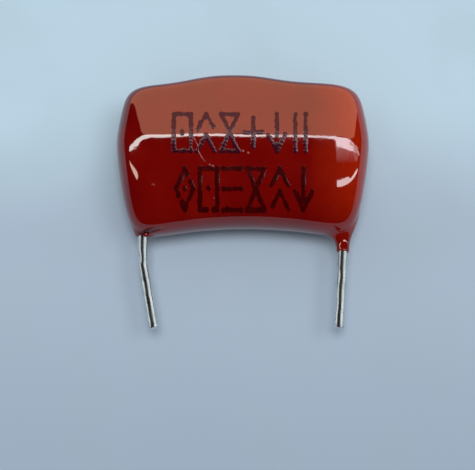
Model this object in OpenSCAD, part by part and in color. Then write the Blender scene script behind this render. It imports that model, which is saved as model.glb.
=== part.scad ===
// Dipped radial film capacitor, lying on its broad face.
// X runs from lead to lead, -Y is the way the leads point, +Z is up through the thickness.

/* [Leads] */
// Distance between the two leads
pitch = 15; // [12.5:0.5:18]
// Diameter of the wire
wire_d = 0.8; // [0.6:0.05:1]
// Height above the winding's middle at which each wire starts
weld_reach = 3.2; // [2:0.1:4]
// Radius that the wires are bent around, at their centre line
bend_r = 2; // [1.5:0.1:3]
// Straight length of the left wire between its collar and its bend
left_straight = 2; // [0.1:0.05:4]
// Angle by which the left wire turns inwards
left_lean = 10.2; // [1:0.1:15]
// Straight length of the left wire beyond its bend
left_free = 4.7; // [3:0.1:8]
// Straight length of the right wire between its collar and its bend
right_straight = 0.15; // [0.1:0.05:4]
// Angle by which the right wire turns inwards
right_lean = 3.7; // [1:0.1:15]
// Straight length of the right wire beyond its bend
right_free = 5.5; // [3:0.1:8]

/* [Winding] */
// Height of the flattened roll
winding_h = 9.6; // [8:0.1:12]
// Thickness of the flattened roll
winding_t = 4.6; // [3.8:0.1:6]
// Height of the slit left by the collapsed core
slit_h = 4.6; // [2:0.1:5]
// Width of that slit
slit_t = 0.2; // [0.1:0.05:0.4]
// Thickness of the metal sprayed on each end of the roll
spray_t = 0.5; // [0.3:0.05:0.8]
// Depth to which each wire is sunk into its sprayed end
wire_sink = 0.2; // [0.1:0.05:0.25]

/* [Coat walls] */
// Coat over the broad faces of the winding
face_wall = 0.8; // [0.7:0.05:1.5]
// Coat above the winding's top edge
top_wall = 0.55; // [0.5:0.05:1.5]
// Coat below the winding's bottom edge, at the crown of the arch
bottom_wall = 0.65; // [0.45:0.05:1.5]
// Coat outside each wire at the bulged sides
side_wall = 1.65; // [1.25:0.05:2.5]
// Coat around the wire in each collar
collar_wall = 0.15; // [0.08:0.01:0.3]

/* [Coat form] */
// Height of the drip hump on the top edge
hump_h = 0.8; // [0:0.05:1.5]
// Place of the hump's middle, from the coat's middle
hump_x = -0.7; // [-3:0.05:3]
// Half width of the hump
hump_r = 4; // [2:0.1:6]
// Height of the smaller swell beside it
swell_h = 0.15; // [0:0.05:0.5]
// Place of that swell's middle
swell_x = 5.5; // [3:0.1:7]
// Half width of that swell
swell_r = 2.6; // [1.5:0.1:4]
// How much further the feet reach down than the arch between them
foot_drop = 0.8; // [0:0.05:1]
// Place of the arch's crown, from the coat's middle
arch_x = 0.25; // [-2:0.05:2]
// How far each side narrows from its bulge to its corners
side_pinch = 1.15; // [0:0.05:1.2]
// How much more each side narrows at its foot
foot_taper = 0.55; // [0:0.05:0.6]
// Length over which the broad faces round off towards each side
nose_l = 2.9; // [2:0.1:4]
// How much squarer the broad faces turn into the top edge than into the bottom edge
crest_fullness = 2; // [0:0.1:3]
// Depth of the flat spot on the lower face that the part rests on
rest_flat = 0.1; // [0.05:0.01:0.2]
// Depth below the arch's crown at which the left collar ends
left_collar = 0.65; // [0.65:0.05:2]
// Depth below the arch's crown at which the right collar ends
right_collar = 1.85; // [0.65:0.05:2.5]

/* [Hidden] */
$fn = 64;
LEFT = -1;
RIGHT = 1;

// Outer size of the coat, from what it covers
half_w = pitch / 2 + wire_d / 2 + side_wall;
top_h = winding_h / 2 + top_wall;
arch_h = winding_h / 2 + bottom_wall;
coat_t = winding_t + 2 * face_wall;
// Depth of the flat spot below the winding's middle
rest_depth = coat_t / 2 - rest_flat;

// Outer faces of the sprayed ends, and of the roll between them
contact_x = pitch / 2 - wire_d / 2 + wire_sink;
roll_x = contact_x - spray_t;

// Powers of the coat's superellipses: higher ones are squarer
corner_power = 11;
face_power = 2.4;
nose_power = 3;
hump_power = 2.5;
taper_power = 4;
crest_power = 4;
// The sides bulge most a little above the middle
bulge_v = 0.15;
bulge_soft = 0.25;

// Steps of the coat's mesh around its outline, and from its outline to the middle of a face
outline_steps = 76;
face_steps = 13;
// How much closer the steps lie at the outline's four corners
step_bias = 0.55;

// Collars: a cone that leaves the foot, then a sleeve on the wire
collar_r = wire_d / 2 + collar_wall;
cone_r = collar_r + 0.3;
cone_root = 0.15;
cone_rise = 0.9;

// Depths at which the wires leave their collars and start to bend
left_end_y = arch_h + left_collar;
right_end_y = arch_h + right_collar;
left_bend_y = left_end_y + left_straight;
right_bend_y = right_end_y + right_straight;
// The wire is worked a little fatter round its bend, and runs straight into it at both ends
bend_swell = 0.01;
bend_lap = 0.06;

// Middle of the whole part along Y, which the origin sits under
tip_y = min(
    tip(left_bend_y, left_lean, left_free),
    tip(right_bend_y, right_lean, right_free)
);
middle_y = (top_edge(hump_x) + tip_y) / 2;

// Lowest point of a wire that bends at depth y, leans by a and runs on for a length
function tip(y, a, run) = -y - bend_r * sin(a) - run * cos(a) - wire_d / 2 * sin(a);

// Bell of height 1 and half width r around zero
function bell(x, r, power) = exp(-pow(abs(x) / r, power));

// Height of the coat's top edge above the winding's middle
function top_edge(x) =
    top_h + hump_h * bell(x - hump_x, hump_r, hump_power) + swell_h * bell(x - swell_x, swell_r, 2);

// Depth of the coat's bottom edge below the winding's middle
function bottom_edge(x) = arch_h + foot_drop * pow((x - arch_x) / (pitch / 2), 2);

// Half width of the coat at height v, from -1 at its bottom edge to 1 at its top edge
function side_edge(v) =
    half_w
    - side_pinch * (norm([v - bulge_v, bulge_soft]) - bulge_soft)
    - foot_taper * pow(max(0, -v), taper_power);

// Scale that brings a direction onto the superellipse of a power
function onto(c, s, power) = pow(pow(abs(c), power) + pow(abs(s), power), -1 / power);

// Quarter superellipse: 1 at r = 0, falling to 0 at r = 1
function fall(r, power) = pow(max(0, 1 - pow(min(1, abs(r)), power)), 1 / power);

// Power with which the broad faces round off at height v: resin gathers under the top edge
function round_power(v) = face_power + crest_fullness * pow(max(0, v), crest_power);

// Half thickness of the coat at u, from side to side, and v, from bottom to top,
// as a share of its greatest: rounded over v, nosed at the sides and closed at the corners
function plump(u, v) =
    let (nose = max(0, 1 - (1 - abs(u)) * half_w / nose_l))
    let (cu = pow(abs(u), corner_power))
    let (cv = pow(abs(v), corner_power))
    let (open = max(0, 1 - cu - cv))
    fall(v, round_power(v)) * fall(nose, nose_power) * pow(open / (open + cu * cv), 1 / face_power);

// Angle of step i around the outline, closer together at the corners
function outline_angle(i) =
    let (a = 360 * i / outline_steps)
    a + step_bias * 45 / PI * sin(4 * a);

// Share of the way out from a face's middle at step j, from 0 at the middle to 1 on the outline
function reach(j) =
    let (a = 90 * j / face_steps)
    sin(a) * onto(sin(a), cos(a), face_power);

// Point of the coat at step i around and j outwards, on the upper or lower face
function coat_point(i, j, face) =
    let (a = outline_angle(i))
    let (k = onto(cos(a), sin(a), corner_power))
    let (u = reach(j) * k * cos(a))
    let (v = reach(j) * k * sin(a))
    let (x = u * side_edge(v))
    let (z = j == face_steps ? 0 : plump(u, v) * coat_t / 2)
    [x, v * (v > 0 ? top_edge(x) : bottom_edge(x)), max(face * z, -rest_depth)];

// The coat before anything is taken out of it: rings of points run from the middle of the
// upper face to the outline, and on to the middle of the lower face
module coat_blank() {
    rings = 2 * face_steps - 1;
    last = 1 + rings * outline_steps;
    function ring_point(r, i) =
        r <= face_steps ? coat_point(i, r, 1) : coat_point(i, 2 * face_steps - r, -1);
    function at(r, i) = 1 + (r - 1) * outline_steps + (i % outline_steps);
    points = concat(
        [[0, 0, coat_t / 2]],
        [for (r = [1 : rings], i = [0 : outline_steps - 1]) ring_point(r, i)],
        [[0, 0, -rest_depth]]
    );
    caps = [
        for (i = [0 : outline_steps - 1]) each [
            [0, at(1, i + 1), at(1, i)],
            [last, at(rings, i), at(rings, i + 1)]
        ]
    ];
    bands = [
        for (r = [1 : rings - 1], i = [0 : outline_steps - 1]) each [
            [at(r, i), at(r + 1, i + 1), at(r + 1, i)],
            [at(r, i), at(r, i + 1), at(r + 1, i + 1)]
        ]
    ];
    polyhedron(points, concat(caps, bands), convexity = 4);
}

// Sleeve of resin around a wire, from inside the foot down to a depth
module collar(side, end_y) {
    root_y = arch_h + cone_root;
    cone_y = min(root_y + cone_rise, end_y);
    translate([side * pitch / 2, 0, 0])
        rotate([90, 0, 0])
            rotate_extrude()
                polygon([
                    [0, root_y - cone_rise],
                    [cone_r, root_y - cone_rise],
                    [cone_r, root_y],
                    [collar_r, cone_y],
                    [collar_r, end_y],
                    [0, end_y]
                ]);
}

// Section of the roll: a slab with round edges
module roll_section(height, thickness) {
    square([height - thickness, thickness], center = true);
    for (side = [LEFT, RIGHT])
        translate([side * (height - thickness) / 2, 0])
            circle(d = thickness);
}

// Slab of the roll's section between two places along X
module roll_slab(from_x, to_x) {
    translate([from_x, 0, 0])
        rotate([90, 0, 90])
            linear_extrude(to_x - from_x)
                roll_section(winding_h, winding_t);
}

// Straight stretch of wire from its start on the sprayed end down to a depth
module wire_run(side, low_y) {
    translate([side * pitch / 2, weld_reach, 0])
        rotate([90, 0, 0])
            cylinder(d = wire_d, h = weld_reach + low_y);
}

// Whole wire: along the sprayed end, out through the coat, round its bend and on
module wire(side, bend_y, lean, free_run) {
    wire_run(side, bend_y + bend_lap);
    translate([side * (pitch / 2 - bend_r), -bend_y, 0]) {
        rotate([0, 0, side == RIGHT ? -lean : 180])
            rotate_extrude(angle = lean)
                translate([bend_r, 0])
                    circle(r = wire_d / 2 + bend_swell);
        rotate([0, 0, -side * lean])
            translate([side * bend_r, bend_lap, 0])
                rotate([90, 0, 0])
                    cylinder(d = wire_d, h = free_run + bend_lap);
    }
}

// Metal sprayed on one end of the roll, with the groove that its wire lies in
module end_spray(side, bend_y) {
    difference() {
        if (side == LEFT)
            roll_slab(-contact_x, -roll_x);
        else
            roll_slab(roll_x, contact_x);
        wire_run(side, bend_y);
    }
}

// Puts a sub-part where the origin is under the middle of the whole
module placed() {
    translate([0, -middle_y, rest_depth])
        children();
}

module coating() {
    color("#7d1a0c")
        placed()
            difference() {
                union() {
                    coat_blank();
                    collar(LEFT, left_end_y);
                    collar(RIGHT, right_end_y);
                }
                roll_slab(-contact_x, contact_x);
                wire_run(LEFT, left_bend_y);
                wire_run(RIGHT, right_bend_y);
            }
}

module winding() {
    color("#c9cdd2")
        placed()
            difference() {
                roll_slab(-roll_x, roll_x);
                translate([-roll_x - 1, 0, 0])
                    rotate([90, 0, 90])
                        linear_extrude(2 * roll_x + 2)
                            roll_section(slit_h, slit_t);
            }
}

module end_spray_left() {
    color("#8f9091")
        placed()
            end_spray(LEFT, left_bend_y);
}

module end_spray_right() {
    color("#8f9091")
        placed()
            end_spray(RIGHT, right_bend_y);
}

module lead_left() {
    color("#b9bcc0")
        placed()
            wire(LEFT, left_bend_y, left_lean, left_free);
}

module lead_right() {
    color("#b9bcc0")
        placed()
            wire(RIGHT, right_bend_y, right_lean, right_free);
}

coating();
winding();
end_spray_left();
end_spray_right();
lead_left();
lead_right();
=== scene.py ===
"""Dipped radial film capacitor lying on its broad face: its looks, the studio and the camera."""
import math
import random

import bmesh
import bpy
import numpy as np
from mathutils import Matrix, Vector


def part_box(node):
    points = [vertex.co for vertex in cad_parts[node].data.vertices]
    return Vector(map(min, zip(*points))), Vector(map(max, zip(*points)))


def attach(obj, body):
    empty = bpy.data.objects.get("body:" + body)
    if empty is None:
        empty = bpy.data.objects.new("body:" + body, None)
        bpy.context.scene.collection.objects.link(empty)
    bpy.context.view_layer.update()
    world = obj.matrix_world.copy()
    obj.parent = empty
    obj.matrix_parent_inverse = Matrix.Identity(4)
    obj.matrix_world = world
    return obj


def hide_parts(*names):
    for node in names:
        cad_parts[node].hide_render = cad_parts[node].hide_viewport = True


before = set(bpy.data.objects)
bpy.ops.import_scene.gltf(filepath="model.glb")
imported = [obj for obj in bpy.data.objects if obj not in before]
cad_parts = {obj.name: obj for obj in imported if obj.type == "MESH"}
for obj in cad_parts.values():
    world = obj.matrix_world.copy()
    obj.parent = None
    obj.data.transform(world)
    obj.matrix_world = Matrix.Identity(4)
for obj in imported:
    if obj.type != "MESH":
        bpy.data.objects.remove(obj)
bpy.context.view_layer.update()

# The object's own sizes are in millimetres, measured from the middle of the winding:
# X runs from lead to lead, -Y is the way the leads point, +Z is up.
MM = 0.001
WINDING_LO, WINDING_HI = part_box("winding")
COAT_LO, COAT_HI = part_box("coating")
ORIGIN = (WINDING_LO + WINDING_HI) / 2
REST_DEPTH = (ORIGIN.z - COAT_LO.z) / MM

# Leads
PITCH = 15.0
WIRE_R = 0.4
WELD_REACH = 3.2
BEND_R = 2.0
LEFT_BEND_Y, LEFT_LEAN, LEFT_FREE = 8.10, 10.2, 4.7
RIGHT_BEND_Y, RIGHT_LEAN, RIGHT_FREE = 7.45, 3.7, 5.5

# Roll and its sprayed ends
WINDING_H = 9.6
WINDING_T = 4.6
CONTACT_X = 7.3

# Coat
HALF_W = COAT_HI.x / MM
HALF_T = (COAT_HI.z - ORIGIN.z) / MM
TOP_H = 5.35
ARCH_H = 5.45
HUMP_H, HUMP_X, HUMP_R = 0.8, -0.7, 4.0
SWELL_H, SWELL_X, SWELL_R = 0.15, 5.5, 2.6
FOOT_DROP, ARCH_X = 0.8, 0.25
SIDE_PINCH, FOOT_TAPER, NOSE_L = 1.15, 0.55, 2.9
BULGE_V, BULGE_SOFT = 0.15, 0.25
CORNER_POWER, FACE_POWER, NOSE_POWER, HUMP_POWER, TAPER_POWER = 11, 2.4, 3.0, 2.5, 4
CREST_FULLNESS, CREST_POWER = 2.0, 4

# Collars: depth at which each ends, and how softly it runs into its foot
LEFT_END_Y, RIGHT_END_Y = 6.10, 7.30
COLLAR_ROOT_Y = 4.6
COLLAR_TIP_R, COLLAR_ROOT_R = 0.47, 0.66
COLLAR_ROUND = 0.1
# The bore of each wire is cut to here, past the end of either collar
WIRE_BORE_END = -8.0
# Width of each collar's blend into the coat: at the outline, and high above it
LEFT_BLEND, RIGHT_BLEND = (0.5, 0.25), (1.1, 0.52)
BLEND_Z = 0.6
# The collar's end is a little ragged
RAGGED = 0.05
# A fold in the resin at the left foot, as points along it; the painted shade in it follows them too
FOLD = [(-7.75, -5.98, 0.25), (-7.41, -5.98, 0.50), (-6.94, -5.94, 0.86), (-6.41, -5.84, 1.07),
        (-5.75, -5.70, 1.18)]
FOLD_W, FOLD_DEPTH, FOLD_FADE = 0.12, 0.15, 1.0
# Only points further out and lower than this are near a collar
FOOT_X, FOOT_Y = 4.5, -2.5

# Mesh of the coat
VOXEL = 0.09
SLOPE_STEP, FLAT_TOLERANCE = 1e-4, 1e-5
# A distance is worked out from a slope no flatter than LEAST_SLOPE, and stops at FAR_OFF
LEAST_SLOPE, FAR_OFF = 0.02, 2.0
# How far a point may move in one round of settling, and how far off it still counts as on
SETTLE_STEP, ON_SURFACE = 0.15, 2e-3
# Rounds of settling before, during and after the rounds of relaxing
SETTLE_BEFORE, RELAX_ROUNDS, SETTLE_AFTER = 6, 8, 4


# ---------------------------------------------------------------- the coat's form

def top_edge(x):
    """Height of the coat's top edge."""
    hump = HUMP_H * np.exp(-np.abs((x - HUMP_X) / HUMP_R) ** HUMP_POWER)
    return TOP_H + hump + SWELL_H * np.exp(-((x - SWELL_X) / SWELL_R) ** 2)


def bottom_edge(x):
    """Depth of the coat's bottom edge."""
    return ARCH_H + FOOT_DROP * ((x - ARCH_X) / (PITCH / 2)) ** 2


def side_edge(v):
    """Half width of the coat at height v, from -1 at its bottom edge to 1 at its top edge."""
    pinch = SIDE_PINCH * (np.hypot(v - BULGE_V, BULGE_SOFT) - BULGE_SOFT)
    return HALF_W - pinch - FOOT_TAPER * np.maximum(0, -v) ** TAPER_POWER


def round_power(v):
    """Power with which the broad faces round off at height v."""
    return FACE_POWER + CREST_FULLNESS * np.clip(v, 0, 1) ** CREST_POWER


def height_share(y, x):
    """Height v of a point, from -1 at the coat's bottom edge to 1 at its top edge."""
    return np.where(y > 0, y / top_edge(x), y / bottom_edge(x))


def coat_share(x, y):
    """Thickness of the coat over (x, y), as a share of its greatest, to the rounding power.
    Outside the outline it falls below zero."""
    v = height_share(y, x)
    power = round_power(v)
    u = x / side_edge(v)
    corner_u, corner_v = np.abs(u) ** CORNER_POWER, np.abs(v) ** CORNER_POWER
    open_share = np.maximum(0, 1 - corner_u - corner_v)
    nose = np.clip(1 - (1 - np.abs(u)) * HALF_W / NOSE_L, 0, 1)
    over_v = 1 - np.minimum(1, np.abs(v)) ** power
    over_nose = (1 - nose ** NOSE_POWER) ** (power / NOSE_POWER)
    closed = (open_share / (open_share + corner_u * corner_v + 1e-12)) ** (power / FACE_POWER)
    beyond = (corner_u + corner_v) ** (1 / CORNER_POWER) - 1
    return np.where(open_share > 0, over_v * over_nose * closed, -CORNER_POWER * beyond)


def slope(field, points):
    """Gradient of a field at each point."""
    made = np.zeros_like(points)
    for axis in range(3):
        step = np.zeros(3)
        step[axis] = SLOPE_STEP
        made[:, axis] = (field(points + step) - field(points - step)) / (2 * SLOPE_STEP)
    return made


def body_level(points):
    x, y, z = points.T
    return (np.abs(z) / HALF_T) ** round_power(height_share(y, x)) - coat_share(x, y)


def body_distance(points):
    """About how far each point lies outside the coat's body."""
    steepness = np.linalg.norm(slope(body_level, points), axis=1)
    return np.clip(body_level(points) / np.maximum(steepness, LEAST_SLOPE), -FAR_OFF, FAR_OFF)


def smooth_least(a, b, width):
    overlap = np.maximum(0, 1 - np.abs(a - b) / width)
    return np.minimum(a, b) - width / 4 * overlap ** 2


def collar_distance(points, side, end_y):
    """About how far each point lies outside one tapered collar."""
    off_axis = np.hypot(points[:, 0] - side * PITCH / 2, points[:, 2])
    depth = -points[:, 1]
    turn = np.arctan2(points[:, 2], points[:, 0] - side * PITCH / 2)
    end_y = end_y + RAGGED * (np.sin(2 * turn + side) + 0.7 * np.sin(5 * turn))
    along = np.clip((depth - COLLAR_ROOT_Y) / (RIGHT_END_Y - COLLAR_ROOT_Y), 0, 1)
    radius = COLLAR_ROOT_R + (COLLAR_TIP_R - COLLAR_ROOT_R) * along
    past_end = -smooth_least(end_y - depth, depth - COLLAR_ROOT_Y, COLLAR_ROUND)
    return -smooth_least(radius - off_axis, -past_end, COLLAR_ROUND)


def blend_width(points, widths):
    at_outline, above = widths
    return above + (at_outline - above) * np.exp(-(points[:, 2] / BLEND_Z) ** 2)


def fold_depth(points):
    """How far the fold sinks the surface at each point."""
    nearest = np.full(len(points), 9.0)
    for start, end in zip(FOLD, FOLD[1:]):
        start, run = np.array(start), np.subtract(end, start)
        along = np.clip((points - start) @ run / (run @ run), 0, 1)
        gap = np.linalg.norm(points - start - along[:, None] * run, axis=1)
        nearest = np.minimum(nearest, gap)
    fade = np.clip((FOLD[-1][0] - points[:, 0]) / FOLD_FADE, 0, 1)
    return FOLD_DEPTH * fade * np.exp(-(nearest / FOLD_W) ** 2)


def foot_distance(points):
    """About how far each point lies outside the coat, where its collars reach."""
    made = body_distance(points)
    for side, end_y, widths in ((-1, LEFT_END_Y, LEFT_BLEND), (1, RIGHT_END_Y, RIGHT_BLEND)):
        collar = collar_distance(points, side, end_y)
        made = smooth_least(made, collar, blend_width(points, widths))
    return made + fold_depth(points)


def by_place(near_foot, elsewhere, points):
    """Runs one function on the points near the collars, and a plainer one on the rest."""
    near = (np.abs(points[:, 0]) > FOOT_X) & (points[:, 1] < FOOT_Y)
    made = elsewhere(points)
    made[near] = near_foot(points[near])
    return made


def coat_normal(points):
    """Direction that the coat's surface faces at each point."""
    made = by_place(lambda p: slope(foot_distance, p), lambda p: slope(body_level, p), points)
    made[points[:, 2] < FLAT_TOLERANCE - REST_DEPTH] = (0, 0, -1)
    return unit(made)


def coat_distance(points):
    """About how far each point lies outside the coat, with its collars and its flat spot."""
    made = by_place(foot_distance, body_distance, points)
    return np.maximum(made, -REST_DEPTH - points[:, 2])


def settle(points, rounds):
    """Moves points onto the coat's surface."""
    for _ in range(rounds):
        distance = by_place(foot_distance, body_distance, points)
        step = np.clip(distance, -SETTLE_STEP, SETTLE_STEP)
        direction = by_place(lambda p: slope(foot_distance, p),
                             lambda p: slope(body_level, p), points)
        points = points - unit(direction) * step[:, None]
        points[:, 2] = np.maximum(points[:, 2], -REST_DEPTH)
    return points


def unit(vectors):
    return vectors / np.maximum(np.linalg.norm(vectors, axis=1), 1e-9)[:, None]


# ---------------------------------------------------------------- mesh helpers

def add_object(name, mesh):
    made = bpy.data.objects.new(name, mesh)
    bpy.context.scene.collection.objects.link(made)
    return made


def mesh_of(name, points, faces):
    mesh = bpy.data.meshes.new(name)
    mesh.from_pydata([tuple(p) for p in points], [], faces)
    mesh.update()
    return mesh


def vertex_array(mesh):
    flat = np.zeros(len(mesh.vertices) * 3)
    mesh.vertices.foreach_get("co", flat)
    return flat.reshape(-1, 3)


def write_vertices(mesh, points):
    mesh.vertices.foreach_set("co", points.astype(np.float32).ravel())
    mesh.update()


def apply_modifier(obj, kind, **settings):
    """Runs one modifier and keeps its result as the object's mesh."""
    modifier = obj.modifiers.new(kind.title(), kind)
    for key, value in settings.items():
        setattr(modifier, key, value)
    graph = bpy.context.evaluated_depsgraph_get()
    mesh = bpy.data.meshes.new_from_object(obj.evaluated_get(graph), depsgraph=graph)
    obj.modifiers.clear()
    old, obj.data = obj.data, mesh
    bpy.data.meshes.remove(old)


def loft(rings):
    """Points and faces of a closed skin over rings that all have the same number of points."""
    count = len(rings[0])
    points = [p for ring in rings for p in ring]
    faces = []
    for r in range(len(rings) - 1):
        for i in range(count):
            j = (i + 1) % count
            a, b = r * count, (r + 1) * count
            faces.append((a + i, a + j, b + j, b + i))
    faces.append(tuple(reversed(range(count))))
    faces.append(tuple(range((len(rings) - 1) * count, len(rings) * count)))
    return points, faces


def to_row_frame(mesh):
    """From millimetres around the winding's middle to metres in the frame."""
    write_vertices(mesh, vertex_array(mesh) * MM + np.array(ORIGIN))


def smooth_all(mesh):
    mesh.polygons.foreach_set("use_smooth", [True] * len(mesh.polygons))


def finish_piece(obj, material, slot, *nodes):
    obj.data.materials.clear()
    obj.data.materials.append(material)
    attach(obj, "root")
    if nodes:
        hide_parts(*nodes)


# ---------------------------------------------------------------- node helpers

def new_material(name):
    material = bpy.data.materials.new(name)
    material.use_nodes = True
    material.node_tree.nodes.clear()
    return material


def add_node(tree, kind, settings=None, **inputs):
    """Adds a node. Each input is a value or a socket, and is named as on the node, with _ for a
    space, or i and its number."""
    node = tree.nodes.new(kind)
    for key, value in (settings or {}).items():
        setattr(node, key, value)
    for key, value in inputs.items():
        socket = node.inputs[int(key[1:])] if key[0] == "i" and key[1:].isdigit() else \
            node.inputs[key.replace("_", " ")]
        if isinstance(value, bpy.types.NodeSocket):
            tree.links.new(value, socket)
        else:
            socket.default_value = value
    return node


def millimetres(tree, stretch=(1, 1, 1)):
    """The piece's own coordinates in millimetres, stretched along each axis."""
    coords = add_node(tree, "ShaderNodeTexCoord")
    scale = tuple(s / MM for s in stretch)
    return add_node(tree, "ShaderNodeVectorMath", {"operation": "MULTIPLY"},
                    i0=coords.outputs["Object"], i1=scale).outputs[0]


def noise(tree, where, scale, detail=2.0, rough=0.5, warp=0.0):
    return add_node(tree, "ShaderNodeTexNoise", None, Vector=where, Scale=scale, Detail=detail,
                    Roughness=rough, Distortion=warp).outputs["Fac"]


def remap(tree, value, low, high, to_low=0.0, to_high=1.0):
    return add_node(tree, "ShaderNodeMapRange", {"clamp": True}, Value=value, From_Min=low,
                    From_Max=high, To_Min=to_low, To_Max=to_high).outputs[0]


def maths(tree, operation, a, b=0.0):
    return add_node(tree, "ShaderNodeMath", {"operation": operation}, i0=a, i1=b).outputs[0]


def vector_maths(tree, operation, a, b):
    """The node: output 0 is its vector, output 1 its number."""
    return add_node(tree, "ShaderNodeVectorMath", {"operation": operation}, i0=a, i1=b)


def blend_colour(tree, share, a, b):
    node = add_node(tree, "ShaderNodeMix", {"data_type": "RGBA"})
    for index, value in ((0, share), (6, a), (7, b)):
        if isinstance(value, bpy.types.NodeSocket):
            tree.links.new(value, node.inputs[index])
        else:
            node.inputs[index].default_value = value if index == 0 else (*value, 1.0)
    return node.outputs[2]


def bump(tree, height, depth_mm, normal=None):
    node = add_node(tree, "ShaderNodeBump", None, Height=height, Distance=depth_mm * MM)
    if normal is not None:
        tree.links.new(normal, node.inputs["Normal"])
    return node.outputs["Normal"]


def close_material(tree, shader):
    add_node(tree, "ShaderNodeOutputMaterial", None, Surface=shader.outputs[0])


# ---------------------------------------------------------------- materials

# Places in the materials are in millimetres from the frame's own origin.

DEEP_RED = (0.140, 0.0004, 0.0002)
WARM_RED = (0.180, 0.0022, 0.0004)
ORANGE_RED = (0.38, 0.015, 0.0003)
MOTTLE_RED = (0.105, 0.0006, 0.0004)
# Where the warm right end begins and is fullest, and how it fades again towards the collar
WARM_X, WARM_MOST = (5.8, 9.6), 0.8
COLLAR_FADE_Y, COLLAR_FADE_LEAST = (-3.0, 0.0), 0.15
# Painted shade in the fold: its dark colour, its soft edge, and the stretch of it along which it
# fades out
FOLD_PAINTED_SHADE, FOLD_SHADE_W, FOLD_SHADE_END = (0.050, 0.0003, 0.0006), (0.03, 0.16), (0.45, 1.0)
COAT_ROUGHNESS, COAT_IOR = (0.03, 0.06), 1.68


def fold_shade(tree, where, z):
    """How strongly the fold's painted shade falls on a place at the left foot, seen from above,
    from 0 to 1.
    """
    start, end = Vector(FOLD[0]) + ORIGIN / MM, Vector(FOLD[-1]) + ORIGIN / MM
    start, end = Vector((start.x, start.y, 0)), Vector((end.x, end.y, 0))
    run = end - start
    flat = vector_maths(tree, "MULTIPLY", where, (1, 1, 0)).outputs[0]
    offset = vector_maths(tree, "SUBTRACT", flat, start).outputs[0]
    along = vector_maths(tree, "DOT_PRODUCT", offset, run / run.length_squared).outputs[1]
    along = remap(tree, along, 0.0, 1.0)
    nearest = vector_maths(tree, "MULTIPLY", add_node(
        tree, "ShaderNodeCombineXYZ", None, X=along, Y=along, Z=along).outputs[0], run).outputs[0]
    gap = vector_maths(tree, "DISTANCE", offset, nearest).outputs[1]
    inside = remap(tree, gap, *FOLD_SHADE_W, 1.0, 0.0)
    fade = remap(tree, along, *FOLD_SHADE_END, 1.0, 0.0)
    upper = remap(tree, z, REST_DEPTH, REST_DEPTH + 0.2)
    return maths(tree, "MULTIPLY", maths(tree, "MULTIPLY", inside, fade), upper)


def coat_material():
    """Glossy pigmented epoxy: deep red, warmer towards the right end, with faint orange peel and
    painted shade in the fold.
    """
    material = new_material("dipped_epoxy")
    tree = material.node_tree
    where = millimetres(tree)
    x, y, z = add_node(tree, "ShaderNodeSeparateXYZ", None, Vector=where).outputs
    clouds = remap(tree, noise(tree, where, 0.28, 3.0, 0.55), 0.35, 0.68)
    colour = blend_colour(tree, clouds, DEEP_RED, WARM_RED)
    cloudy_x = maths(tree, "ADD", x, maths(tree, "MULTIPLY", noise(tree, where, 0.4), 2.0))
    warm_end = remap(tree, cloudy_x, *WARM_X, 0.0, WARM_MOST)
    above_collar = remap(tree, y, *COLLAR_FADE_Y, COLLAR_FADE_LEAST, 1.0)
    colour = blend_colour(tree, maths(tree, "MULTIPLY", warm_end, above_collar), colour,
                          ORANGE_RED)
    mottle = remap(tree, noise(tree, where, 2.6, 4.0, 0.6), 0.3, 0.75, 0.0, 0.22)
    colour = blend_colour(tree, mottle, colour, MOTTLE_RED)
    # Painted shade: darker red over the fold at the left foot
    colour = blend_colour(tree, fold_shade(tree, where, z), colour, FOLD_PAINTED_SHADE)
    smudge = noise(tree, where, 0.55, 4.0, 0.6, 0.4)
    roughness = remap(tree, smudge, 0.42, 0.78, *COAT_ROUGHNESS)
    peel = noise(tree, where, 0.55, 1.0)
    fine = noise(tree, where, 2.8, 2.0)
    normal = bump(tree, peel, 0.005)
    normal = bump(tree, fine, 0.0005, normal)
    shader = add_node(tree, "ShaderNodeBsdfPrincipled", None, Base_Color=colour,
                      Roughness=roughness, Normal=normal, IOR=COAT_IOR)
    close_material(tree, shader)
    return material


INK_RED, INK_VIOLET = (0.034, 0.0004, 0.0006), (0.036, 0.0006, 0.013)
INK_WORN = (0.075, 0.0005, 0.0008)
# Where the ink turns from red to violet, and its gloss
VIOLET_Y = (2.4, 4.4)
INK_ROUGHNESS, INK_IOR = (0.08, 0.14), 1.35


def ink_material():
    """Dark stamping ink, duller than the coat, more violet in its upper row and worn in places."""
    material = new_material("marking_ink")
    tree = material.node_tree
    where = millimetres(tree)
    worn = remap(tree, noise(tree, where, 2.2, 4.0, 0.65), 0.48, 0.72, 0.0, 0.75)
    y = add_node(tree, "ShaderNodeSeparateXYZ", None, Vector=where).outputs[1]
    violet = blend_colour(tree, remap(tree, y, *VIOLET_Y), INK_RED, INK_VIOLET)
    colour = blend_colour(tree, worn, violet, INK_WORN)
    roughness = remap(tree, noise(tree, where, 5.0, 3.0), 0.3, 0.7, *INK_ROUGHNESS)
    normal = bump(tree, noise(tree, where, 6.0, 2.0), 0.002)
    shader = add_node(tree, "ShaderNodeBsdfPrincipled", None, Base_Color=colour,
                      Roughness=roughness, Normal=normal, IOR=INK_IOR)
    close_material(tree, shader)
    return material


def wire_material():
    """Tinned wire with faint drawing lines along it and duller patches."""
    material = new_material("tinned_wire")
    tree = material.node_tree
    along = millimetres(tree, (1.0, 0.06, 1.0))
    where = millimetres(tree)
    lines = noise(tree, along, 7.0, 3.0, 0.6)
    patches = noise(tree, where, 1.1, 4.0, 0.6)
    colour = blend_colour(tree, remap(tree, patches, 0.35, 0.7), (0.76, 0.80, 0.80),
                          (0.55, 0.60, 0.61))
    roughness = remap(tree, maths(tree, "ADD", lines, patches), 0.75, 1.3, 0.20, 0.38)
    normal = bump(tree, lines, 0.006)
    normal = bump(tree, patches, 0.012, normal)
    shader = add_node(tree, "ShaderNodeBsdfPrincipled", None, Base_Color=colour, Metallic=1.0,
                      Roughness=roughness, Normal=normal)
    close_material(tree, shader)
    return material


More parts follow.
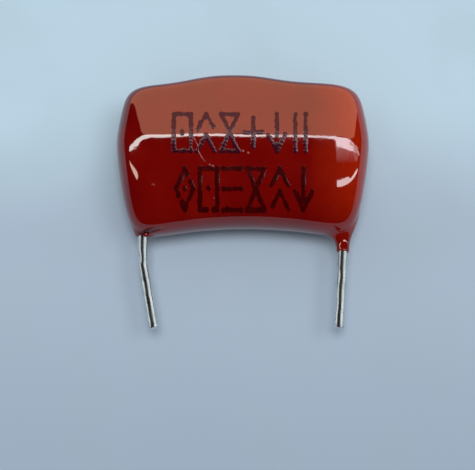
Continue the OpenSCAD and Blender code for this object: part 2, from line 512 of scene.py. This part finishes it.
def spray_material():
    """Flame-sprayed zinc: grey, grainy and dull."""
    material = new_material("sprayed_zinc")
    tree = material.node_tree
    where = millimetres(tree)
    grains = noise(tree, where, 5.0, 5.0, 0.7)
    colour = blend_colour(tree, remap(tree, grains, 0.3, 0.7), (0.34, 0.35, 0.36),
                          (0.62, 0.62, 0.60))
    normal = bump(tree, grains, 0.09)
    shader = add_node(tree, "ShaderNodeBsdfPrincipled", None, Base_Color=colour, Metallic=0.9,
                      Roughness=remap(tree, grains, 0.2, 0.8, 0.45, 0.75), Normal=normal)
    close_material(tree, shader)
    return material


def film_material():
    """Wound metallised film: silvery, with the faint steps of its turns."""
    material = new_material("metallised_film")
    tree = material.node_tree
    where = millimetres(tree, (0.25, 1.0, 1.0))
    turns = noise(tree, where, 3.5, 4.0, 0.6)
    colour = blend_colour(tree, remap(tree, turns, 0.3, 0.7), (0.55, 0.57, 0.60),
                          (0.72, 0.73, 0.74))
    normal = bump(tree, turns, 0.02)
    shader = add_node(tree, "ShaderNodeBsdfPrincipled", None, Base_Color=colour, Metallic=0.85,
                      Roughness=remap(tree, turns, 0.3, 0.7, 0.22, 0.38), Normal=normal)
    close_material(tree, shader)
    return material


# ---------------------------------------------------------------- the coat

OUTLINE_STEPS = 220
RING_STEPS = 36
# Gathers the outline's points towards its corners
CORNER_GATHER = 0.14
ROD_SIDES, ROLL_SIDES = 64, 96


def coat_height(x, y):
    """Height of the coat's upper face."""
    power = round_power(height_share(y, x))
    return HALF_T * np.maximum(0, coat_share(x, y)) ** (1 / power)


def outline_ring(share):
    """Points of one ring on the coat's upper face, at a share of the way to the outline."""
    angle = np.linspace(0, 2 * np.pi, OUTLINE_STEPS, endpoint=False)
    angle = angle + CORNER_GATHER * np.sin(4 * angle)
    c, s = np.cos(angle), np.sin(angle)
    onto = (np.abs(c) ** CORNER_POWER + np.abs(s) ** CORNER_POWER) ** (-1 / CORNER_POWER)
    u, v = share * onto * c, share * onto * s
    x = u * side_edge(v)
    y = v * np.where(v > 0, top_edge(x), bottom_edge(x))
    return x, y


def coat_blank():
    """Closed rough mesh of the coat's body, which the remesh and settle() then refine."""
    rings = []
    for face in (1, -1):
        for step in range(1, RING_STEPS + 1) if face == 1 else range(RING_STEPS - 1, 0, -1):
            x, y = outline_ring(math.sin(math.pi / 2 * step / RING_STEPS))
            z = face * coat_height(x, y) if step < RING_STEPS else np.zeros_like(x)
            rings.append(np.stack([x, y, z], 1))
    points, faces = loft(rings)
    mesh = mesh_of("coat_blank", points, faces)
    smooth_all(mesh)
    return add_object("coat_blank", mesh)


def rod(name, radius, x, from_y, to_y):
    """Closed cylinder along Y."""
    ring = [(radius * math.cos(a), radius * math.sin(a))
            for a in (2 * math.pi * i / ROD_SIDES for i in range(ROD_SIDES))]
    rings = [[(x + c, y, s) for c, s in ring] for y in (from_y, to_y)]
    made = add_object(name, mesh_of(name, *loft(rings)))
    outward(made.data)
    return made


def outward(mesh):
    edit = bmesh.new()
    edit.from_mesh(mesh)
    bmesh.ops.recalc_face_normals(edit, faces=edit.faces)
    edit.to_mesh(mesh)
    edit.free()


def roll_slab():
    """Closed solid of the roll with its sprayed ends: a slab with round edges along X."""
    straight, radius = (WINDING_H - WINDING_T) / 2, WINDING_T / 2
    ring = []
    for i in range(ROLL_SIDES):
        a = 2 * math.pi * (i + 0.5) / ROLL_SIDES
        ring.append((radius * math.cos(a) + math.copysign(straight, math.cos(a)),
                     radius * math.sin(a)))
    rings = [[(x, y, z) for y, z in ring] for x in (-CONTACT_X, CONTACT_X)]
    made = add_object("roll_cutter", mesh_of("roll_cutter", *loft(rings)))
    outward(made.data)
    return made


def join(objects):
    """One object out of several meshes."""
    edit = bmesh.new()
    for obj in objects:
        edit.from_mesh(obj.data)
    edit.to_mesh(objects[0].data)
    edit.free()
    for obj in objects[1:]:
        drop(obj)
    return objects[0]


def drop(obj):
    mesh = obj.data
    bpy.data.objects.remove(obj)
    bpy.data.meshes.remove(mesh)


def relax(points, edges, rounds):
    """Evens out the spacing of points that stay on the coat's surface."""
    a, b = edges[:, 0], edges[:, 1]
    count = np.bincount(np.concatenate([a, b]), minlength=len(points))[:, None]
    for _ in range(rounds):
        total = np.zeros_like(points)
        for axis in range(3):
            total[:, axis] = np.bincount(a, points[b, axis], len(points)) \
                + np.bincount(b, points[a, axis], len(points))
        move = total / count - points
        normal = coat_normal(points)
        move -= normal * (move * normal).sum(1)[:, None]
        points = settle(points + 0.5 * move, 1)
    return points


def cut_away(obj, cutter):
    apply_modifier(obj, "BOOLEAN", operation="DIFFERENCE", object=cutter, solver="MANIFOLD")
    drop(cutter)


def set_true_normals(mesh):
    """Gives the coat's outside the normals of its formula, and leaves its inside as it is."""
    points = vertex_array(mesh)
    on_surface = np.abs(coat_distance(points)) < ON_SURFACE
    normals = coat_normal(points)
    corners = np.zeros(len(mesh.loops), int)
    mesh.loops.foreach_get("vertex_index", corners)
    made = np.zeros((len(corners), 3))
    smooth = []
    for face in mesh.polygons:
        span = slice(face.loop_start, face.loop_start + face.loop_total)
        outside = bool(on_surface[corners[span]].all())
        smooth.append(outside)
        if outside:
            made[span] = normals[corners[span]]
    mesh.polygons.foreach_set("use_smooth", smooth)
    mesh.normals_split_custom_set([tuple(n) for n in made])


def make_coat(material):
    collars = [rod("collar", COLLAR_TIP_R, side * PITCH / 2, -COLLAR_ROOT_Y, -end)
               for side, end in ((-1, LEFT_END_Y), (1, RIGHT_END_Y))]
    coat = join([coat_blank(), *collars])
    coat.name = "coat_shell"
    apply_modifier(coat, "REMESH", mode="VOXEL", voxel_size=VOXEL, adaptivity=0.0)
    mesh = coat.data
    edges = np.zeros(len(mesh.edges) * 2, int)
    mesh.edges.foreach_get("vertices", edges)
    points = settle(vertex_array(mesh), SETTLE_BEFORE)
    points = relax(points, edges.reshape(-1, 2), RELAX_ROUNDS)
    write_vertices(mesh, settle(points, SETTLE_AFTER))
    cut_away(coat, roll_slab())
    for side in (-1, 1):
        cut_away(coat, rod("wire_cutter", WIRE_R, side * PITCH / 2, WELD_REACH, WIRE_BORE_END))
    set_true_normals(coat.data)
    to_row_frame(coat.data)
    finish_piece(coat, material, "coat", "coating")
    return coat


# ---------------------------------------------------------------- the print

# Each mark is a few strokes in a cell four units wide and six high, with y downwards.
# They are plain shapes and spell nothing.
BOX = [(0, 0), (4, 0), (4, 6), (0, 6), (0, 0)]
CENTRE_DOT = [(2, 2.9), (2, 3.1)]
BOXED_DOT = (BOX, CENTRE_DOT)
HOURGLASS = ([(0, 0), (4, 0), (0, 6), (4, 6), (0, 0)],)
PLUS = ([(2, 0.6), (2, 5.4)], [(0, 3), (4, 3)])
TWO_BARS = ([(0.8, 0), (0.8, 6)], [(3.2, 0), (3.2, 6)])
CHEVRONS = ([(0, 2.6), (2, 0), (4, 2.6)], [(0, 6), (2, 3.4), (4, 6)])
DIAMOND = ([(2, 0), (4, 3), (2, 6), (0, 3), (2, 0)], CENTRE_DOT)
THREE_RUNGS = ([(0, 0), (4, 0)], [(0, 3), (4, 3)], [(0, 6), (4, 6)])
ARROW = ([(2, 0), (2, 6)], [(0, 3.4), (2, 6), (4, 3.4)])
UPPER_ROW = (BOXED_DOT, CHEVRONS, HOURGLASS, PLUS, ARROW, TWO_BARS)
LOWER_ROW = (DIAMOND, BOXED_DOT, THREE_RUNGS, HOURGLASS, CHEVRONS, ARROW)

MARK_W, MARK_H, MARK_PITCH = 1.28, 2.9, 1.76
CELL_W, CELL_H = 4, 6
UPPER_AT = (-5.15, 2.62)
LOWER_AT = (-4.95, -1.62)
UPPER_SEED, LOWER_SEED = 11, 23
DOT_R, DOT_STEP = 0.20, 0.26
# How much a dot's radius varies, and how far it wanders across and along
DOT_SIZES, DOT_WANDER = (0.88, 1.14), (0.016, 0.02)
# The first share of the dots is left out, and up to the second they are small
NO_DOT, SMALL_DOT, SMALL_DOT_SIZE = 0.03, 0.12, 0.7
DOT_TALL = 1.12
INK_T, INK_VOXEL = 0.012, 0.04
# Flat reliefs are remeshed this much thicker than they are, and lie this share of it in the coat
STRETCH, SUNK = 20.0, 0.4

# Blemishes of the coat: small pimples, and one fine scratch with a raised edge
PIMPLE_R, PIMPLE_T, PIMPLE_SIZES = 0.085, 0.022, (0.7, 1.25)
PIMPLES = [(-2.48, -1.34), (-2.22, -1.42), (0.01, -0.28), (0.38, -0.43), (-2.14, -3.80),
           (-6.66, -2.83), (-1.03, -4.78), (1.36, 2.62)]
SCRATCH = [(-3.64, 0.72), (-3.49, 0.41), (-3.34, 0.03), (-3.30, -0.36), (-3.07, -0.74),
           (-2.80, -1.12)]
SCRATCH_R, SCRATCH_T, SCRATCH_STEP = 0.05, 0.012, 0.04
SCRATCH_SIZES, SCRATCH_WANDER = (0.8, 1.1), 0.008
BLEMISH_VOXEL, BLEMISH_SEED = 0.02, 5


def stroke_places(stroke):
    """Evenly spaced places along one stroke, in millimetres from its cell's corner."""
    corners = [Vector((x * MARK_W / CELL_W, -y * MARK_H / CELL_H)) for x, y in stroke]
    for start, end in zip(corners, corners[1:]):
        steps = max(1, round((end - start).length / DOT_STEP))
        for step in range(steps + 1):
            yield start.lerp(end, step / steps)


def ink_dots(marks, left, top, seed):
    """Places and radii of a row's dots: each wanders a little, and some are starved of ink."""
    pick = random.Random(seed)
    dots = []
    for column, mark in enumerate(marks):
        for stroke in mark:
            for place in stroke_places(stroke):
                inked = pick.random()
                radius = DOT_R * pick.uniform(*DOT_SIZES)
                radius *= SMALL_DOT_SIZE if inked < SMALL_DOT else 1
                x = left + column * MARK_PITCH + place.x + pick.gauss(0, DOT_WANDER[0])
                y = top + place.y + pick.gauss(0, DOT_WANDER[1])
                if inked > NO_DOT:
                    dots.append((x, y, radius, INK_T))
    return dots


def lay_on_coat(points):
    """Brings points from flat print space, with heights stretched, onto the coat's upper face."""
    foot = np.stack([points[:, 0], points[:, 1], coat_height(points[:, 0], points[:, 1])], 1)
    normal = coat_normal(foot)
    return foot + normal * (points[:, 2] / STRETCH)[:, None]


def make_relief(name, dots, voxel, material, slot):
    """Flat domes on the coat, each (x, y, radius, height), that run together where they touch."""
    edit = bmesh.new()
    for x, y, radius, height in dots:
        made = bmesh.ops.create_uvsphere(edit, u_segments=12, v_segments=8, radius=1.0)
        for vertex in made["verts"]:
            vertex.co = (x + radius * vertex.co.x, y + radius * DOT_TALL * vertex.co.y,
                         height * STRETCH * (vertex.co.z - SUNK))
    mesh = bpy.data.meshes.new(name)
    edit.to_mesh(mesh)
    edit.free()
    relief = add_object(name, mesh)
    apply_modifier(relief, "REMESH", mode="VOXEL", voxel_size=voxel, adaptivity=0.0)
    apply_modifier(relief, "SMOOTH", factor=0.5, iterations=4)
    write_vertices(relief.data, lay_on_coat(vertex_array(relief.data)))
    smooth_all(relief.data)
    to_row_frame(relief.data)
    finish_piece(relief, material, slot)
    return relief


def make_blemishes(material):
    pick = random.Random(BLEMISH_SEED)
    dots = []
    for x, y in PIMPLES:
        size = pick.uniform(*PIMPLE_SIZES)
        dots.append((x, y, PIMPLE_R * size, PIMPLE_T * size))
    for start, end in zip(SCRATCH, SCRATCH[1:]):
        steps = max(1, round(math.dist(start, end) / SCRATCH_STEP))
        for step in range(steps):
            x, y = (a + (b - a) * step / steps for a, b in zip(start, end))
            across = x + pick.gauss(0, SCRATCH_WANDER)
            dots.append((across, y, SCRATCH_R * pick.uniform(*SCRATCH_SIZES), SCRATCH_T))
    return make_relief("coat_blemishes", dots, BLEMISH_VOXEL, material, "coat")


# ---------------------------------------------------------------- the leads

WIRE_SIDES = 48
WIRE_STEP = 0.10
# Dents of pliers: distance along the wire, which way round it they face, and depth
LEFT_DENTS = ((11.1, 2.35, 0.055), (12.3, 2.9, 0.04), (13.6, 2.2, 0.03))
RIGHT_DENTS = ((12.6, 2.3, 0.03), (14.8, 2.7, 0.03))
DENT_LENGTH, DENT_NARROW = 0.5, 6
# Faint waves: a quarter of their full depth, and their two rates along the wire
WAVE_DEPTH, WAVE_RATES = 0.0025, (1.7, 3.1)
# The cutters flattened this much of the tip, by this share
TIP_LENGTH, TIP_PINCH = 0.3, 0.10
LEFT_WAVE_SEED, RIGHT_WAVE_SEED = 0.4, 2.1


def wire_path(side, bend_y, lean, free_run):
    """Centre line of a wire from its weld to its tip, as points and directions."""
    angle = math.radians(lean)
    centre_x = side * (PITCH / 2 - BEND_R)
    path = []
    steps = round((WELD_REACH + bend_y) / WIRE_STEP)
    for i in range(steps):
        path.append((side * PITCH / 2, WELD_REACH - (WELD_REACH + bend_y) * i / steps, 0.0))
    arc_steps = max(3, round(BEND_R * angle / WIRE_STEP) * 2)
    for i in range(arc_steps + 1):
        a = angle * i / arc_steps
        path.append((centre_x + side * BEND_R * math.cos(a), -bend_y - BEND_R * math.sin(a), a))
    x, y, _ = path[-1]
    steps = round(free_run / WIRE_STEP)
    for i in range(1, steps + 1):
        run = free_run * i / steps
        path.append((x - side * run * math.sin(angle), y - run * math.cos(angle), angle))
    return path


def wire_radius(run, turn, seed, dents):
    """Radius of the wire: never over its true size, with faint waves and the dents of pliers."""
    slow, fast = WAVE_RATES
    loss = WAVE_DEPTH * (math.sin(run * slow + seed) + math.sin(run * fast + 2 * turn + seed) + 2)
    for at, facing, depth in dents:
        near = math.exp(-((run - at) / DENT_LENGTH) ** 4)
        loss += depth * near * max(0, math.cos(turn - facing)) ** DENT_NARROW
    return WIRE_R - loss


def make_wire(name, side, bend_y, lean, free_run, seed, dents, material):
    path = wire_path(side, bend_y, lean, free_run)
    tip_run = len(path) - 1
    rings = []
    for step, (x, y, a) in enumerate(path):
        across = Vector((math.cos(a), side * -math.sin(a), 0))
        ring = []
        for i in range(WIRE_SIDES):
            turn = 2 * math.pi * i / WIRE_SIDES
            radius = wire_radius(step * WIRE_STEP, turn, seed, dents)
            from_tip = (tip_run - step) * WIRE_STEP
            pinch = 1 - TIP_PINCH * max(0, 1 - from_tip / TIP_LENGTH) * abs(math.sin(turn))
            offset = across * (radius * math.cos(turn))
            ring.append((x + offset.x, y + offset.y, radius * pinch * math.sin(turn)))
        rings.append(ring)
    points, faces = loft(rings)
    mesh = mesh_of(name, points, faces)
    outward(mesh)
    smooth_all(mesh)
    for face in mesh.polygons:
        face.use_smooth = len(face.vertices) == 4
    to_row_frame(mesh)
    wire = add_object(name, mesh)
    finish_piece(wire, material, "tinned_wire", name.replace("wire", "lead"))
    return wire


# ---------------------------------------------------------------- studio

FLOOR_R = 1.6
# Near, middle and far floor colours hold a painted fall-off of light, lighter away from the camera
FLOOR_FAR, FLOOR_MID = (0.500, 0.662, 0.785), (0.390, 0.485, 0.605)
FLOOR_NEAR, FLOOR_STAIN = (0.335, 0.425, 0.535), (0.35, 0.46, 0.50)
# Painted light across the floor: where it turns from its darker near colour to its middle one, and
# from that to its lighter far one
FLOOR_NEAR_Y = (-0.020, -0.004)
FLOOR_FAR_Y = (-0.003, 0.009)
FLOOR_SIDES = 96
# Strength of the daylight on diffuse surfaces, and of the dim room that gloss shows
AMBIENT = 0.38
ROOM_DIM = 0.012
FAR_FLOOR = (0.43, 0.54, 0.64)
# Broad soft lights: which way each lies, its share of the light on the floor, and its spread
OVERHEAD_LIGHT = ((0.0, -0.01, 1.0), 0.47, 0.36)
SIDE_LIGHT = ((0.42, 0.02, 1.0), 0.17, 0.42)

# Lamps that only gloss shows. The window stands beyond the top edge: its corners are (x, z)
# for a wall one unit away. The others lie on the ceiling: (x, y) for one unit up.
WINDOW_AWAY, CEILING_H = 1.4, 1.4
WINDOW = [(-1.28, 0.0), (-1.17, 0.21), (-0.83, 0.96), (-0.646, 1.48), (-0.63, 2.06), (-0.45, 2.64),
          (1.60, 2.70), (2.06, 1.92), (1.69, 1.29), (1.50, 0.70), (1.46, 0.0)]
WINDOW_RADIANCE, WARM_WHITE = 2.4, (1.0, 0.47, 0.295)
TUBE = [(-0.036, 0.390), (-0.023, 0.377), (0.0, 0.366), (0.014, 0.368), (0.044, 0.379),
        (0.044, 0.354), (0.034, 0.355), (0.013, 0.346), (0.0, 0.344), (-0.034, 0.361)]
LEFT_PANE = [(-0.036, 0.390), (-0.062, 0.396), (-0.216, 0.395), (-0.505, 0.374), (-0.849, 0.340),
             (-1.585, 0.367), (-1.816, 0.358), (-1.059, 0.289), (-0.622, 0.270), (-0.443, 0.270),
             (-0.335, 0.313), (-0.212, 0.338), (-0.109, 0.346), (-0.034, 0.361)]
LEFT_SLOT = [(-2.112, 0.272), (-1.418, 0.151), (-0.852, 0.076), (-0.661, 0.028), (-0.632, -0.031),
             (-0.786, -0.083), (-1.009, -0.028), (-1.360, 0.060), (-1.875, 0.159)]
RIGHT_PANE = [(0.044, 0.379), (0.102, 0.366), (0.263, 0.363), (0.588, 0.364), (1.122, 0.362),
              (2.061, 0.442), (4.952, 0.782), (5.9, 0.88), (3.324, 0.500), (1.356, 0.296),
              (0.634, 0.250), (0.281, 0.258), (0.105, 0.270), (0.084, 0.280), (0.079, 0.316),
              (0.054, 0.346), (0.044, 0.354)]
RIGHT_VEIL = [(0.084, 0.280), (0.105, 0.270), (0.281, 0.258), (0.634, 0.250), (1.356, 0.296),
              (3.324, 0.500), (2.565, 0.295), (0.732, 0.139), (0.110, 0.139)]
RIGHT_SLOT = [(0.139, -0.078), (0.298, -0.067), (0.527, -0.053), (0.749, -0.052), (0.943, -0.081),
              (1.387, -0.045), (2.051, 0.039), (4.672, 0.262), (5.5, 0.23), (2.764, -0.025),
              (1.665, -0.096), (1.056, -0.145), (0.591, -0.176), (0.295, -0.194), (0.152, -0.187)]
# A lamp may fade along one axis: axis, where it is dimmest, where it is full, and its dimmest share
VEIL_FADE = (1, 0.139, 0.275, 0.0)
PANE_FADE = (0, 2.4, 0.3, 0.5)
# The lamps on the ceiling that the coat and its print show: name, outline, radiance, colour, fade
COAT_LAMPS = (
    ("tube", TUBE, 10.0, (1.0, 0.93, 0.88), None),
    ("left_pane", LEFT_PANE, 9.0, (0.96, 1.0, 0.96), None),
    ("left_slot", LEFT_SLOT, 7.3, (1.0, 0.80, 0.66), None),
    ("right_pane", RIGHT_PANE, 9.0, (0.97, 0.94, 1.0), PANE_FADE),
    ("right_veil", RIGHT_VEIL, 1.6, (1.0, 0.82, 0.84), VEIL_FADE),
    ("right_slot", RIGHT_SLOT, 7.3, (1.0, 0.94, 0.96), None),
)
# The lamps that only the wires show
WIRE_LEFT_LIGHT = [(-6.0, -2.0), (-1.3, -2.0), (-1.3, 3.0), (-6.0, 3.0)]
WIRE_RIGHT_LIGHT = [(0.42, -2.0), (6.0, -2.0), (6.0, 3.0), (0.42, 3.0)]
WIRE_LAMPS = (
    ("wire_left_light", WIRE_LEFT_LIGHT, 0.95, (0.97, 1.0, 1.0), None),
    ("wire_right_light", WIRE_RIGHT_LIGHT, 0.95, (0.95, 1.0, 1.0), None),
)
DAYLIGHT, ROOM_TINT, SOFT_LIGHT = (0.95, 0.98, 1.0), (0.9, 0.95, 1.0), (1.0, 0.98, 0.95)

# The camera, in millimetres from the winding's middle: what it looks at, where it stands, and
# the width that it sees there
CAMERA_AIM, CAMERA_EYE, FRAME_W = (-0.40, -5.98, 0.0), (-0.40, -38.4, 144.9), 35.7
SENSOR_W = 36.0


def floor_material():
    """Pale blue-grey with faint clouds and painted light: lighter beyond the object, darker towards
    the camera.
    """
    material = new_material("pale_floor")
    tree = material.node_tree
    where = millimetres(tree)
    clouds = remap(tree, noise(tree, where, 0.035, 3.0), 0.3, 0.7, -0.0015, 0.0015)
    y = add_node(tree, "ShaderNodeSeparateXYZ", None,
                 Vector=add_node(tree, "ShaderNodeTexCoord").outputs["Object"]).outputs[1]
    y = maths(tree, "ADD", y, clouds)
    middle, far = (add_node(tree, "ShaderNodeMapRange", {"interpolation_type": "SMOOTHSTEP"},
                            Value=y, From_Min=low, From_Max=high).outputs[0]
                   for low, high in (FLOOR_NEAR_Y, FLOOR_FAR_Y))
    # Painted light: the floor darkens from far to near
    colour = blend_colour(tree, middle, FLOOR_NEAR, FLOOR_MID)
    colour = blend_colour(tree, far, colour, FLOOR_FAR)
    stain = remap(tree, noise(tree, where, 0.11, 2.0), 0.45, 0.75, 0.0, 0.2)
    colour = blend_colour(tree, stain, colour, FLOOR_STAIN)
    shader = add_node(tree, "ShaderNodeBsdfPrincipled", None, Base_Color=colour, Roughness=0.75)
    shader.inputs["Specular IOR Level"].default_value = 0.2
    close_material(tree, shader)
    return material


def make_floor():
    turns = [2 * math.pi * i / FLOOR_SIDES for i in range(FLOOR_SIDES)]
    rim = [(FLOOR_R * math.cos(turn), FLOOR_R * math.sin(turn), 0.0) for turn in turns]
    floor = add_object("studio_floor", mesh_of("studio_floor", rim, [tuple(range(len(rim)))]))
    floor.data.materials.append(floor_material())


def glow_panel(name, corners, radiance, colour, fade, lit):
    """Flat glow of any outline. It blocks nothing, and shows only in the lit pieces' gloss."""
    material = new_material(name)
    tree = material.node_tree
    shader = add_node(tree, "ShaderNodeEmission", None, Color=(*colour, 1.0), Strength=radiance)
    if fade:
        axis, dim_at, full_at, least = fade
        place = add_node(tree, "ShaderNodeTexCoord").outputs["Object"]
        along = add_node(tree, "ShaderNodeSeparateXYZ", None, Vector=place).outputs[axis]
        tree.links.new(remap(tree, along, dim_at, full_at, least * radiance, radiance),
                       shader.inputs["Strength"])
    clear = add_node(tree, "ShaderNodeBsdfTransparent")
    glow = add_node(tree, "ShaderNodeAddShader", None, i0=shader.outputs[0], i1=clear.outputs[0])
    close_material(tree, glow)
    panel = add_object(name, mesh_of(name, corners, [tuple(range(len(corners)))]))
    panel.data.materials.append(material)
    panel.visible_camera = False
    panel.visible_diffuse = False
    panel.visible_shadow = False
    panel.light_linking.receiver_collection = lit


def overhead(lamps, lit):
    """Glow panels on the ceiling. Their outlines and fades are given for a ceiling one unit up."""
    for name, outline, radiance, colour, fade in lamps:
        corners = [(x * CEILING_H, y * CEILING_H, CEILING_H) for x, y in outline]
        if fade:
            fade = (fade[0], fade[1] * CEILING_H, fade[2] * CEILING_H, fade[3])
        glow_panel(name, corners, radiance, colour, fade, lit)


def lit_group(name, pieces):
    group = bpy.data.collections.new(name)
    for piece in pieces:
        group.objects.link(piece)
    return group


def make_coat_lamps(pieces):
    lit = lit_group("coat_and_print", pieces)
    window = [(x * WINDOW_AWAY, WINDOW_AWAY, z * WINDOW_AWAY) for x, z in WINDOW]
    glow_panel("warm_window", window, WINDOW_RADIANCE, WARM_WHITE, None, lit)
    overhead(COAT_LAMPS, lit)


def make_wire_lamps(pieces):
    overhead(WIRE_LAMPS, lit_group("wires", pieces))


def make_soft_light(name, towards, share, spread):
    """Soft light from far away, which gives the floor this share of its light."""
    light = bpy.data.lights.new(name, "SUN")
    towards = Vector(towards).normalized()
    light.energy = math.pi * share / towards.z
    light.angle = spread
    light.color = SOFT_LIGHT
    lamp = bpy.data.objects.new(name, light)
    bpy.context.scene.collection.objects.link(lamp)
    lamp.rotation_euler = towards.to_track_quat("Z", "Y").to_euler()
    lamp.visible_glossy = False
    lamp.visible_camera = False


def make_world():
    """Even daylight for diffuse surfaces, a dim room for gloss, and pale floor to the camera."""
    world = bpy.data.worlds.new("room")
    bpy.context.scene.world = world
    world.use_nodes = True
    tree = world.node_tree
    tree.nodes.clear()
    path = add_node(tree, "ShaderNodeLightPath")
    up = add_node(tree, "ShaderNodeSeparateXYZ", None,
                  Vector=add_node(tree, "ShaderNodeTexCoord").outputs["Generated"]).outputs[2]
    high = remap(tree, up, 0.02, 0.05)
    daylight = add_node(tree, "ShaderNodeBackground", None, Color=(*DAYLIGHT, 1.0),
                        Strength=AMBIENT)
    dim = add_node(tree, "ShaderNodeBackground", None, Color=(*ROOM_TINT, 1.0),
                   Strength=ROOM_DIM)
    pale = add_node(tree, "ShaderNodeBackground", None, Color=(*FAR_FLOOR, 1.0), Strength=1.0)
    gloss = add_node(tree, "ShaderNodeMixShader", None, Fac=high, i1=pale.outputs[0],
                     i2=dim.outputs[0])
    seen = add_node(tree, "ShaderNodeMixShader", None, Fac=path.outputs["Is Glossy Ray"],
                    i1=daylight.outputs[0], i2=gloss.outputs[0])
    shown = add_node(tree, "ShaderNodeMixShader", None, Fac=path.outputs["Is Camera Ray"],
                     i1=seen.outputs[0], i2=pale.outputs[0])
    add_node(tree, "ShaderNodeOutputWorld", None, Surface=shown.outputs[0])


def make_camera():
    """Looks down at the leads' side, framed as wide as the photograph."""
    aim = ORIGIN + Vector(CAMERA_AIM) * MM
    eye = ORIGIN + Vector(CAMERA_EYE) * MM
    data = bpy.data.cameras.new("camera")
    data.sensor_width = SENSOR_W
    data.lens = data.sensor_width * (eye - aim).length / (FRAME_W * MM)
    data.clip_start, data.clip_end = 0.01, 10.0
    camera = bpy.data.objects.new("camera", data)
    bpy.context.scene.collection.objects.link(camera)
    camera.location = eye
    camera.rotation_euler = (aim - eye).to_track_quat("-Z", "Y").to_euler()
    bpy.context.scene.camera = camera


# ---------------------------------------------------------------- everything in place

make_camera()
make_floor()
make_soft_light("overhead_light", *OVERHEAD_LIGHT)
make_soft_light("side_light", *SIDE_LIGHT)
make_world()
bpy.context.scene.view_settings.view_transform = "Standard"

epoxy, ink, tin = coat_material(), ink_material(), wire_material()
make_coat_lamps([
    make_coat(epoxy),
    make_blemishes(epoxy),
    make_relief("print_row_upper", ink_dots(UPPER_ROW, *UPPER_AT, UPPER_SEED), INK_VOXEL, ink,
                "ink"),
    make_relief("print_row_lower", ink_dots(LOWER_ROW, *LOWER_AT, LOWER_SEED), INK_VOXEL, ink,
                "ink"),
])
make_wire_lamps([
    make_wire("wire_left", -1, LEFT_BEND_Y, LEFT_LEAN, LEFT_FREE, LEFT_WAVE_SEED, LEFT_DENTS,
              tin),
    make_wire("wire_right", 1, RIGHT_BEND_Y, RIGHT_LEAN, RIGHT_FREE, RIGHT_WAVE_SEED, RIGHT_DENTS,
              tin),
])

for names, material in (
    (("winding",), film_material()),
    (("end_spray_left", "end_spray_right"), spray_material()),
):
    for node_name in names:
        node_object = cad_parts[node_name]
        node_object.data.materials.clear()
        node_object.data.materials.append(material)
